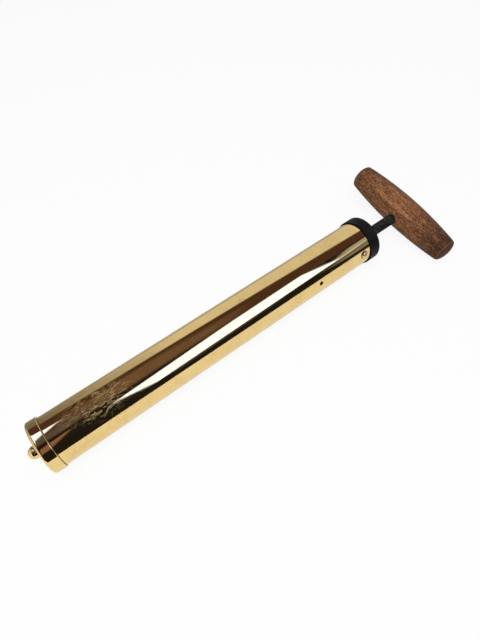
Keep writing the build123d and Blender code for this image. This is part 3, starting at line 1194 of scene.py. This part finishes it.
@dataclass
class Head(Pump):
    """The black head plug, its screws and what guides the rod in it.

    Args:
        corner: The rounding of the flange's outer edge.
        rod_gap: The head's clearance round the rod.
        felt_gap: The felt's clearance round the rod.
        spigot_gap: The spigot's clearance in the tube.
        screw_head: The radius of a screw's head.
        screw_dome: The height of its dome.
        screw_shank: The radius of its shank.
        screw_length: The length of its shank.
        slot_width: The width of its slot.
        slot_depth: The depth of its slot.
        inset: From the screws to the tube's end.
        turn: The first screw's turn from +Y towards +Z.
    """

    corner: float = 1.0 * MM
    rod_gap: float = 0.3 * MM
    felt_gap: float = 0.05 * MM
    spigot_gap: float = 0.05 * MM
    screw_head: float = 3.25 * MM
    screw_dome: float = 2.3 * MM
    screw_shank: float = 1.75 * MM
    screw_length: float = 9.0 * MM
    slot_width: float = 0.9 * MM
    slot_depth: float = 1.2 * MM
    inset: float = 7.9 * MM
    turn: float = 163.0

    def build(self) -> None:
        """Makes the head's pieces."""
        self._plug()
        self._screws()
        self.keep(Slot.TURNED_BRASS, "guide_bush", "wiper_retainer")
        felt = Extent.of("felt_wiper")
        rod = Extent.of("plunger_rod").radius
        piece = self.ring("felt_ring", felt, rod + self.felt_gap, 0.5 * MM, segments=96)
        self.settle(piece, "barrel", Slot.FELT, "felt_wiper")
        buffer = Extent.of("buffer_washer")
        piece = self.ring("rubber_buffer", buffer, rod + self.rod_gap, 0.5 * MM, segments=96)
        self.settle(piece, "barrel", Slot.BUFFER_RUBBER, "buffer_washer")

    def _plug(self) -> None:
        """The flange over the tube's end, its spigot inside and its stepped bore."""
        plug = Extent.of("head_plug")
        tube = Extent.of("barrel_tube")
        bush = Extent.of("guide_bush")
        felt = Extent.of("felt_wiper")
        rod = Extent.of("plunger_rod").radius
        spigot = tube.radius - Barrel.wall - self.spigot_gap
        corners = [
            Corner(plug.start, felt.radius, 0.2 * MM),
            Corner(felt.end, felt.radius),
            Corner(felt.end, bush.radius),
            Corner(bush.end, bush.radius),
            Corner(bush.end, rod + self.rod_gap),
            Corner(plug.end, rod + self.rod_gap, 0.6 * MM),
            Corner(plug.end, plug.radius, self.corner),
            Corner(tube.end, plug.radius, 0.35 * MM),
            Corner(tube.end, spigot),
            Corner(plug.start, spigot, 0.5 * MM),
        ]
        piece = turned("black_head", trace(corners, True, 10), self.axis, segments=256)
        self.settle(piece, "barrel", Slot.BLACK_MOULDING, "head_plug")

    def _screws(self) -> None:
        """Two round-head screws, one each side, their slots across the pump."""
        tube = Extent.of("barrel_tube")
        foot = Vector((tube.end - self.inset, 0, self.height))
        points: list[Vector] = []
        faces: list[tuple[int, ...]] = []
        rim: list[float] = []
        for extra in (0.0, 180.0):
            turn = math.radians(self.turn + extra)
            outwards = Vector((0, math.cos(turn), math.sin(turn)))
            across = Vector((1, 0, 0))
            basis = Matrix((outwards, across, outwards.cross(across))).transposed().to_4x4()
            screw = self._screw(Matrix.Translation(foot) @ basis, tube.radius)
            offset = len(points)
            points += [v.co.copy() for v in screw.data.vertices]
            faces += [tuple(offset + k for k in f.vertices) for f in screw.data.polygons]
            values = screw.data.attributes["rim"].data
            rim += [item.value for item in values]
            bpy.data.objects.remove(screw)
        piece = mesh_object("round_head_screws", points, faces, rim)
        # The painted shade round each head's edge, carried in the rim values.
        piece.data.attributes.new("corner_shade", "FLOAT", "POINT").data.foreach_set("value", rim)
        self.settle(piece, "barrel", Slot.BRASS_SCREW, "head_screws")

    def _screw(self, placing: Matrix, seat: float) -> bpy.types.Object:
        """One screw.

        Args:
            placing: Its frame, with local X outwards and local Y along the pump.
            seat: How far its head's underside is from the pump's axis.

        Returns:
            The screw.
        """
        sphere = (self.screw_head**2 + self.screw_dome**2) / (2 * self.screw_dome)
        centre = seat + self.screw_dome - sphere
        edge = math.asin(self.screw_head / sphere)
        outline = [
            TracePoint(seat - self.screw_length, 0),
            TracePoint(seat - self.screw_length, self.screw_shank),
            TracePoint(seat, self.screw_shank),
            TracePoint(seat, 0.94 * self.screw_head, 1.0),
            TracePoint(seat + 0.06 * self.screw_head, 0.99 * self.screw_head, 1.0),
        ]
        # The outer steps of each dome carry painted shade round the head's edge, where the head meets the
        # tube.
        steps, edge_shade_steps = 16, 4
        for step in range(1, steps + 1):
            turn = edge * (1 - step / steps)
            edge_shade = max(0.0, 1 - step / edge_shade_steps)
            outline.append(TracePoint(centre + sphere * math.cos(turn), sphere * math.sin(turn), edge_shade))
        screw = turned("screw", outline, placing, closed=False, segments=64)
        floor = seat + self.screw_dome - self.slot_depth
        wide, deep = self.slot_width / 2, 2 * self.screw_head
        block = [
            placing @ Vector((floor + x * deep, y * wide, z * deep))
            for x in (0, 1)
            for y in (-1, 1)
            for z in (-1, 1)
        ]
        sides = ((0, 1, 3, 2), (4, 6, 7, 5), (0, 4, 5, 1), (2, 3, 7, 6), (0, 2, 6, 4), (1, 5, 7, 3))
        return carved(screw, [mesh_object("slot", block, sides)])


@dataclass
class Piston(Pump):
    """The piston that the rod turns in, with its leather cup.

    Args:
        cup_wall: The leather's thickness at the lip.
        cup_base: The leather's thickness at the base.
        cup_corner: The rounding of its formed heel.
    """

    cup_wall: float = 2.0 * MM
    cup_base: float = 2.5 * MM
    cup_corner: float = 2.5 * MM

    def build(self) -> None:
        """Makes the piston's pieces."""
        cup = Extent.of("leather_cup")
        hub = Extent.of("piston_hub").radius
        floor = cup.end - self.cup_base
        inside = cup.radius - self.cup_wall
        corners = [
            Corner(floor, hub, 0.1 * MM),
            Corner(cup.end, hub, 0.2 * MM),
            Corner(cup.end, cup.radius, self.cup_corner),
            Corner(cup.start, cup.radius, 0.5 * MM),
            Corner(cup.start, inside, 0.8 * MM),
            Corner(floor, inside, 0.4 * MM),
        ]
        piece = turned("formed_leather_cup", trace(corners, True, 8), self.axis, segments=160)
        self.settle(piece, "piston", Slot.CUP_LEATHER, "leather_cup")
        self.keep(Slot.TURNED_BRASS, "piston_hub", "cup_backing", "cup_spreader")


@dataclass
class Plunger(Pump):
    """The rod and the T-handle, with what holds them together.

    Args:
        half_body: From the handle's middle to where its end crown starts.
        crown: The height of the crown on each end.
        middle: The handle's radius in its middle.
        end: Its radius where the crown starts.
        socket: How far the full rod goes into the handle.
        socket_gap: The socket's clearance round the rod.
        hub_gap: From the piston hub to the rod's shoulder.
        spigot: The radius of the rod's ends.
        pocket: The radius of the nut's pocket.
        pocket_depth: The pocket's depth.
    """

    half_body: float = 52.4 * MM
    crown: float = 4.8 * MM
    middle: float = 14.7 * MM
    end: float = 11.1 * MM
    socket: float = 4.0 * MM
    socket_gap: float = 0.12 * MM
    hub_gap: float = 0.2 * MM
    spigot: float = 3.0 * MM
    pocket: float = 7.5 * MM
    pocket_depth: float = 7.5 * MM

    def tilt(self) -> float:
        """How far the handle dips, in radians, with one end on the surface below."""
        tilt = 0.0
        for _ in range(40):
            drop = math.hypot(self.end * math.cos(tilt), self.crown * math.sin(tilt))
            tilt = math.asin((self.height - drop) / self.half_body)
        return tilt

    @property
    def handle_frame(self) -> Matrix:
        """The handle's frame, with local X along it."""
        low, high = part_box("t_handle")
        centre = Vector(((low.x + high.x) / 2, 0, self.height))
        lengthwise = Vector((0, math.cos(self.tilt()), math.sin(self.tilt())))
        towards_end = Vector((1, 0, 0))
        basis = Matrix((lengthwise, towards_end, lengthwise.cross(towards_end))).transposed().to_4x4()
        return Matrix.Translation(centre) @ basis

    def build(self) -> None:
        """Makes the plunger's pieces."""
        self._rod()
        self._handle()
        self.keep(Slot.TURNED_BRASS, "piston_nut", "piston_washer")
        self.keep(Slot.BLACK_ROD, "handle_washer", "handle_nut")

    def _rod(self) -> None:
        """The rod, its ends turned down to spigots with broken edges."""
        rod = Extent.of("plunger_rod")
        shoulder = Extent.of("piston_hub").end + self.hub_gap
        low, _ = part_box("t_handle")
        far_shoulder = low.x + self.socket
        corners = [
            Corner(rod.end, 0),
            Corner(rod.end, self.spigot, 0.4 * MM),
            Corner(far_shoulder, self.spigot),
            Corner(far_shoulder, rod.radius, 0.4 * MM),
            Corner(shoulder, rod.radius, 0.4 * MM),
            Corner(shoulder, self.spigot),
            Corner(rod.start, self.spigot, 0.4 * MM),
            Corner(rod.start, 0),
        ]
        piece = turned("black_rod", trace(corners, False), self.axis, closed=False, segments=128)
        self.settle(piece, "plunger", Slot.BLACK_ROD, "plunger_rod")

    def _handle(self) -> None:
        """The turned handle: a barrel with crowned ends, the rod's socket and the nut's pocket."""
        outline = []
        crown_steps = 14
        for step in range(crown_steps):
            turn = math.pi / 2 * step / crown_steps
            x, radius = self.half_body + self.crown * math.cos(turn), self.end * math.sin(turn)
            outline.append(TracePoint(x, radius, step / crown_steps))
        body_steps = 56
        for step in range(body_steps + 1):
            share = 1 - 2 * step / body_steps
            radius = self.end + (self.middle - self.end) * (1 - share**2)
            outline.append(TracePoint(self.half_body * share, radius))
        outline += [TracePoint(-mark.x, mark.r, mark.rim) for mark in reversed(outline[:crown_steps])]
        piece = turned("turned_handle", outline, self.handle_frame, closed=False, segments=160)
        low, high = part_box("t_handle")
        socket = Extent.of("plunger_rod").radius + self.socket_gap
        reach = 10 * MM
        seat = high.x - self.pocket_depth
        bore = [
            Corner(low.x - reach, 0),
            Corner(low.x - reach, socket),
            Corner(low.x + self.socket, socket),
            Corner(low.x + self.socket, self.spigot),
            Corner(seat, self.spigot),
            Corner(seat, self.pocket),
            Corner(high.x + reach, self.pocket),
            Corner(high.x + reach, 0),
        ]
        carved(piece, [turned("bore", trace(bore, False), self.axis, closed=False, segments=96)])
        self.settle(piece, "plunger", Slot.OILED_WALNUT, "t_handle")


# ---------------------------------------------------------------- the studio


class Hue(Enum):
    """The lights of the room, as polished metal shows them."""

    WINDOW = (1.4, 1.8, 3.6)
    GLEAM = (0.80, 0.84, 0.95)
    HAZE = (0.07, 0.065, 0.07)
    WALL = (0.76, 0.75, 0.76)
    SHADED_WALL = (0.20, 0.19, 0.21)
    PALE_WALL = (0.62, 0.60, 0.58)
    CORNER_WALL = (0.43, 0.45, 0.55)
    DADO = (0.24, 0.23, 0.27)
    CEILING = (0.080, 0.040, 0.034)
    LIT_CEILING = (0.175, 0.112, 0.098)
    DUSK = (0.11, 0.10, 0.12)
    SHELF = (0.30, 0.17, 0.155)
    BLACK = (0.015, 0.014, 0.015)


@dataclass(frozen=True)
class Patch:
    """A patch of the room round the pump, placed as seen from the pump's axis.

    Args:
        hue: Its light.
        corners: Its corners in order, each a station along X and a turn from +Y over the top.
            They make a convex shape.
        far_hue: Its light where the shift ends, if that differs.
        shift: The stations between which its light changes.
        soft: How wide its edges fade, in degrees.
    """

    hue: Hue
    corners: tuple[tuple[float, float], ...]
    far_hue: Hue | None = None
    shift: tuple[float, float] = (0.0, 1.0)
    soft: float = 2.0

    def paint(self, glow: np.ndarray, x: np.ndarray, turn: np.ndarray, distance: float) -> np.ndarray:
        """Paints the patch over what is there.

        Args:
            glow: The light at each point, one row of three each.
            x: Each point's station.
            turn: Each point's turn.
            distance: How far the points are from the axis.

        Returns:
            The new light at each point.
        """
        scale = math.degrees(1 / distance)
        ring = [(scale * px, pt) for px, pt in self.corners]
        pairs = list(zip(ring, ring[1:] + ring[:1]))
        area = sum(a[0] * b[1] - b[0] * a[1] for a, b in pairs)
        depth = np.full(x.shape, np.inf)
        for first, second in pairs:
            run = (second[0] - first[0], second[1] - first[1])
            side = run[0] * (turn - first[1]) - run[1] * (scale * x - first[0])
            depth = np.minimum(depth, math.copysign(1, area) * side / math.hypot(*run))
        cover = np.clip(depth / self.soft + 0.5, 0, 1)[:, None]
        share = np.clip((x - self.shift[0]) / (self.shift[1] - self.shift[0]), 0, 1)[:, None]
        near, far = (np.array(hue.value) for hue in (self.hue, self.far_hue or self.hue))
        own = near * (1 - share) + far * share
        return glow * (1 - cover) + own * cover


@dataclass
class Room:
    """The room round the pump, which only polished surfaces show.

    Args:
        height: The height of the pump's axis.
        distance: The room's distance from that axis.
        start: Where it starts along X.
        end: Where it ends.
        reflection_dim_start: Where the painted dimmer floor, seen only in reflections, starts along Y.
    """

    height: float
    distance: float = 0.6
    start: float = -1.0
    end: float = 1.4
    reflection_dim_start: float = 0.03

    @property
    def patches(self) -> tuple[Patch, ...]:
        """The room's patches, each painted over the ones before it."""
        start, end = self.start - 0.2, self.end + 0.2
        wall = Patch(
            Hue.SHADED_WALL,
            ((start, -9), (end, -9), (end, 200), (start, 200)),
            far_hue=Hue.WALL,
            shift=(-0.25, 0.05),
        )
        over = (
            (Hue.PALE_WALL, 12, ((start, -9), (-0.44, -9), (-0.44, 90), (start, 90))),
            (Hue.CEILING, 5, ((-0.42, 28), (-0.25, 28), (1.45, 137), (1.45, 140), (-0.42, 140))),
            (Hue.LIT_CEILING, 12, ((-0.20, 62), (-0.02, 60), (0.18, 82), (0.16, 104), (-0.20, 106))),
            (Hue.DUSK, 8, ((start, 86), (-0.12, 86), (-0.14, 106), (start, 106))),
            (Hue.BLACK, 4, ((start, 108), (0.1, 111), (end, 134), (end, 200), (start, 200))),
            (Hue.SHELF, 1.5, ((-0.40, 134), (-0.215, 119), (-0.21, 122), (-0.255, 142), (-0.40, 148))),
            (Hue.CORNER_WALL, 3, ((0.44, 147), (0.50, 124), (end, 122), (end, 151), (0.5, 152))),
            (
                Hue.DADO,
                5,
                ((0.42, 152), (0.5, 152), (end, 151), (end, 168), (0.5, 166), (0.44, 158)),
            ),
            (Hue.BLACK, 3, ((0.42, 152), (0.66, 142), (0.66, 145), (0.42, 156))),
            (Hue.GLEAM, 2, ((0.44, 146), (0.62, 133), (0.63, 135), (0.50, 146))),
            (Hue.HAZE, 1.5, ((0.0, 157), (0.30, 151), (0.30, 156), (0.02, 163))),
            (Hue.WINDOW, 1.5, ((-0.122, 127), (-0.03, 155), (0.475, 145), (0.36, 110), (0.15, 113))),
            (Hue.WINDOW, 1.5, ((-0.222, 66), (-0.34, 54), (-0.34, 104), (-0.29, 93))),
        )
        return (wall, *(Patch(hue, corners, soft=soft) for hue, soft, corners in over))

    def build(self) -> None:
        """Makes the room's wall, an arch from floor to floor."""
        stations = np.linspace(self.start, self.end, 481)
        turns = np.linspace(-1.5, 181.5, 367)
        x, turn = (grid.ravel() for grid in np.meshgrid(stations, turns, indexing="ij"))
        glow = np.zeros((x.size, 3))
        for patch in self.patches:
            glow = patch.paint(glow, x, turn, self.distance)
        angle = np.radians(turn)
        y, z = self.distance * np.cos(angle), self.height + self.distance * np.sin(angle)
        points = np.stack((x, y, z), axis=1)
        self._card("room_arch", points, turns.size, glow, np.ones(x.size))
        self._dimmed_floor_reflection()

    def _dimmed_floor_reflection(self) -> None:
        """A card that paints a dimmer floor into reflections on the +Y side, dimmest near the nozzle's end.
        """
        stations = np.linspace(self.start, self.end, 61)
        places = np.linspace(self.reflection_dim_start, self.distance, 58)
        x, y = (grid.ravel() for grid in np.meshgrid(stations, places, indexing="ij"))
        pump_start, fade = -0.19, 0.1
        past_cap = np.clip((x - pump_start) / fade, 0, 1)[:, None]
        far = np.clip((y - 0.1) / 0.2, 0, 1)[:, None]
        # Painted shade on the floor, as only polished surfaces show it.
        dim, mid, pale = (np.array((c, 0.95 * c, 0.97 * c)) for c in (0.24, 0.47, 0.66))
        glow = dim * (1 - past_cap) + (mid * (1 - far) + pale * far) * past_cap
        above, edge_fade = 1 * MM, 0.05
        cover = np.clip((y - self.reflection_dim_start) / edge_fade, 0, 1)
        points = np.stack((x, y, np.full(x.size, above)), axis=1)
        self._card("dimmed_floor_reflection", points, places.size, glow, cover)

    def _card(self, name: str, points: np.ndarray, row: int, glow: np.ndarray, cover: np.ndarray) -> None:
        """Makes a card that shows only in glossy reflections.

        Args:
            name: The card's name.
            points: Its points, row after row.
            row: How many points a row has.
            glow: The light at each point.
            cover: How solid the card is at each point, from 0 to 1.
        """
        count = len(points) // row
        corners = (np.arange(count - 1)[:, None] * row + np.arange(row - 1)).ravel()
        faces = np.stack((corners, corners + 1, corners + row + 1, corners + row), axis=1)
        card = mesh_object(name, points.tolist(), faces.tolist())
        colours = card.data.attributes.new("glow", "FLOAT_COLOR", "POINT")
        colours.data.foreach_set("color", np.column_stack((glow, np.ones(len(points)))).ravel())
        card.data.attributes.new("cover", "FLOAT", "POINT").data.foreach_set("value", cover)
        material = bpy.data.materials.new(name)
        material.use_nodes = True
        material.node_tree.nodes.clear()
        nodes = Nodes(material.node_tree)
        painted = nodes.add("Attribute", attribute_name="glow").outputs["Color"]
        light = nodes.add("Emission", {"Color": painted})
        solid = nodes.add("Attribute", attribute_name="cover").outputs["Fac"]
        clear = nodes.add("BsdfTransparent")
        mixed = nodes.add("MixShader", {0: solid, 1: clear.outputs[0], 2: light.outputs[0]})
        nodes.add("OutputMaterial", {0: mixed.outputs[0]})
        card.data.materials.append(material)
        for ray in ("camera", "diffuse", "transmission", "volume_scatter", "shadow"):
            setattr(card, "visible_" + ray, False)


@dataclass
class Studio:
    """The pale floor, the lamps, the room and the camera.

    Args:
        height: The height of the pump's axis.
        sky: How strongly the world lights matt surfaces.
        shade: How much of the floor's own shading the camera sees, from 0 to 1.
        mirrored_shade: How much of it polished surfaces see.
        floor_tone: How pale the floor is.
        eye: The camera's place.
        azimuth: Its heading, 0 along +Y and 90 along -X.
        elevation: Its height above level.
        roll: Its roll, anticlockwise as seen.
        lens: Its focal length in millimetres on a 36 mm long side.
    """

    height: float
    sky: float = 0.42
    shade: float = 0.10
    mirrored_shade: float = 0.7
    floor_tone: float = 0.8
    eye: tuple[float, float, float] = (-0.13498, -0.17017, 0.31566)
    azimuth: float = -35.31
    elevation: float = 55.03
    roll: float = -3.16
    lens: float = 25.363

    def build(self) -> None:
        """Makes the studio."""
        self._world()
        self._floor()
        self._lamps()
        Room(self.height).build()
        self._camera()
        bpy.context.scene.view_settings.view_transform = "Standard"

    @staticmethod
    def seen(nodes: Nodes) -> tuple[bpy.types.NodeSocket, bpy.types.NodeSocket]:
        """Tells the camera's rays and the mirrored rays from the light on matt surfaces.

        Args:
            nodes: The nodes to add to.

        Returns:
            1 for the camera's rays, and 1 for mirrored and refracted rays.
        """
        path = nodes.add("LightPath")
        mirrored = nodes.math("MAXIMUM", path.outputs["Is Glossy Ray"], path.outputs["Is Transmission Ray"])
        return path.outputs["Is Camera Ray"], mirrored

    def _world(self) -> None:
        """A white world to the eye and in reflections, and a soft sky to matt surfaces."""
        world = bpy.data.worlds.new("white_room")
        world.use_nodes = True
        world.node_tree.nodes.clear()
        nodes = Nodes(world.node_tree)
        seen = nodes.math("MAXIMUM", *self.seen(nodes))
        strength = nodes.math("ADD", nodes.math("MULTIPLY", seen, 1 - self.sky), self.sky)
        background = nodes.add("Background", {"Color": (1, 1, 1, 1), "Strength": strength})
        nodes.add("OutputWorld", {0: background.outputs[0]})
        bpy.context.scene.world = world

    def _floor(self) -> None:
        """A pale floor that keeps a faint shadow."""
        size = 3.0
        corners = [Vector((x * size, y * size, 0)) for x, y in ((-1, -1), (1, -1), (1, 1), (-1, 1))]
        floor = mesh_object("pale_floor", corners, [(0, 1, 2, 3)])
        material = bpy.data.materials.new("pale_floor")
        material.use_nodes = True
        material.node_tree.nodes.clear()
        nodes = Nodes(material.node_tree)
        matt = nodes.add("BsdfDiffuse", {"Color": (self.floor_tone, self.floor_tone, self.floor_tone, 1)})
        white = nodes.add("Emission", {"Color": (1, 1, 1, 1), "Strength": 1.0})
        camera, mirrored = self.seen(nodes)
        share = nodes.math(
            "ADD",
            nodes.math("MULTIPLY", camera, 1 - self.shade),
            nodes.math("MULTIPLY", mirrored, 1 - self.mirrored_shade),
        )
        mixed = nodes.add("MixShader", {0: share, 1: matt.outputs[0], 2: white.outputs[0]})
        nodes.add("OutputMaterial", {0: mixed.outputs[0]})
        floor.data.materials.append(material)

    def _lamps(self) -> None:
        """Soft lamps above, which light matt surfaces and leave no mark in polished ones."""
        lamps = (
            ("overhead_lamp", (-0.1, -0.15, 1.2), 0.9, 4.2),
            ("window_lamp", (-0.30, -0.36, 1.0), 0.5, 6.0),
        )
        middle = Vector((0.05, 0, self.height))
        for name, place, size, power in lamps:
            light = bpy.data.lights.new(name, "AREA")
            light.shape = "SQUARE"
            light.size = size
            light.energy = power
            lamp = bpy.data.objects.new(name, light)
            lamp.location = place
            lamp.rotation_euler = (middle - Vector(place)).to_track_quat("-Z", "Y").to_euler()
            lamp.visible_glossy = False
            bpy.context.scene.collection.objects.link(lamp)

    def _camera(self) -> None:
        """The camera, near the nozzle's side and well above the pump."""
        azimuth, elevation, roll = (math.radians(a) for a in (self.azimuth, self.elevation, self.roll))
        ahead = Vector(
            (
                -math.sin(azimuth) * math.cos(elevation),
                math.cos(azimuth) * math.cos(elevation),
                -math.sin(elevation),
            )
        )
        level = Vector((math.cos(azimuth), math.sin(azimuth), 0))
        upright = level.cross(ahead)
        right = level * math.cos(roll) + upright * math.sin(roll)
        up = right.cross(ahead)
        camera = bpy.data.objects.new("camera", bpy.data.cameras.new("camera"))
        camera.data.lens = self.lens
        camera.data.clip_start, camera.data.clip_end = 0.01, 20.0
        camera.matrix_world = Matrix.Translation(self.eye) @ Matrix((right, up, -ahead)).transposed().to_4x4()
        bpy.context.scene.collection.objects.link(camera)
        bpy.context.scene.camera = camera


# ---------------------------------------------------------------- everything together


def on_tube(station: float, turn: float, height: float) -> Vector:
    """Finds a place on the tube's outside.

    Args:
        station: Its station along X.
        turn: Its turn from +Y towards +Z.
        height: The height of the tube's axis.

    Returns:
        The place.
    """
    radius, angle = Extent.of("barrel_tube").radius, math.radians(turn)
    return Vector((station, radius * math.cos(angle), height + radius * math.sin(angle)))


def finishes(grain: Matrix, height: float) -> dict[Slot, bpy.types.Material]:
    """Makes every finish.

    Args:
        grain: The turn that lays the wood's grain along the handle.
        height: The height of the pump's axis.

    Returns:
        The material for each slot.
    """
    groups = NodeGroups()
    tube_end = Extent.of("barrel_tube").end
    screws, vent = tube_end - Head.inset, tube_end - Barrel.vent_to_head
    # Rings of painted shade round both screw heads and the vent hole.
    spots = (
        (on_tube(screws, Head.turn, height), Head.screw_head),
        (on_tube(screws, Head.turn + 180, height), Head.screw_head),
        (on_tube(vent, Barrel.vent_turn, height), Barrel.vent),
    )
    makers: dict[Slot, Callable[[str], Finish]] = {
        Slot.POLISHED_BRASS: lambda name: Brass(
            name,
            groups,
            scuff_centre=(-0.138, -0.004, 0.0388),
            joint=Extent.of("end_cap").end,
            spots=spots,
        ),
        Slot.TURNED_BRASS: lambda name: Brass(
            name, groups, colour=(0.72, 0.52, 0.22), roughness=(0.16, 0.3), scratch=0.6
        ),
        Slot.BRASS_SCREW: lambda name: Brass(
            name, groups, colour=(0.70, 0.52, 0.24), roughness=(0.07, 0.14), scratch=0.8
        ),
        Slot.BLACK_MOULDING: lambda name: SatinBlack(name, groups),
        Slot.BLACK_ROD: lambda name: SatinBlack(
            name, groups, colour=(0.0065, 0.0062, 0.005), worn=(0.07, 0.066, 0.05), metal=0.3, mottle=0.45
        ),
        Slot.OILED_WALNUT: lambda name: OiledWalnut(name, groups, along=grain),
        Slot.CUP_LEATHER: lambda name: SoftFibre(name, groups),
        Slot.FELT: lambda name: SoftFibre(
            name, groups, light=(0.55, 0.52, 0.45), dark=(0.3, 0.28, 0.23), grain=2600.0, roughness=0.85
        ),
        Slot.FIBRE: lambda name: SoftFibre(
            name, groups, light=(0.36, 0.07, 0.045), dark=(0.2, 0.035, 0.02), grain=3000.0, depth=2e-5
        ),
        Slot.BUFFER_RUBBER: lambda name: SoftFibre(
            name, groups, light=(0.03, 0.03, 0.03), dark=(0.012, 0.012, 0.012), grain=2200.0, depth=2e-5
        ),
        Slot.SPRING_STEEL: lambda name: BrightSteel(name, groups),
    }
    return {slot: maker(slot.value).build() for slot, maker in makers.items()}


def main() -> None:
    """Builds the pump's looks and the studio in order."""
    logging.basicConfig(level=logging.INFO, format="%(name)s: %(message)s")
    plain = Plunger({})
    grain = plain.handle_frame.to_3x3().inverted().to_4x4()
    made = finishes(grain, plain.height)
    for assembly in (Barrel(made), Head(made), Piston(made), Plunger(made)):
        assembly.build()
    Studio(plain.height).build()


if __name__ == "__main__":
    main()
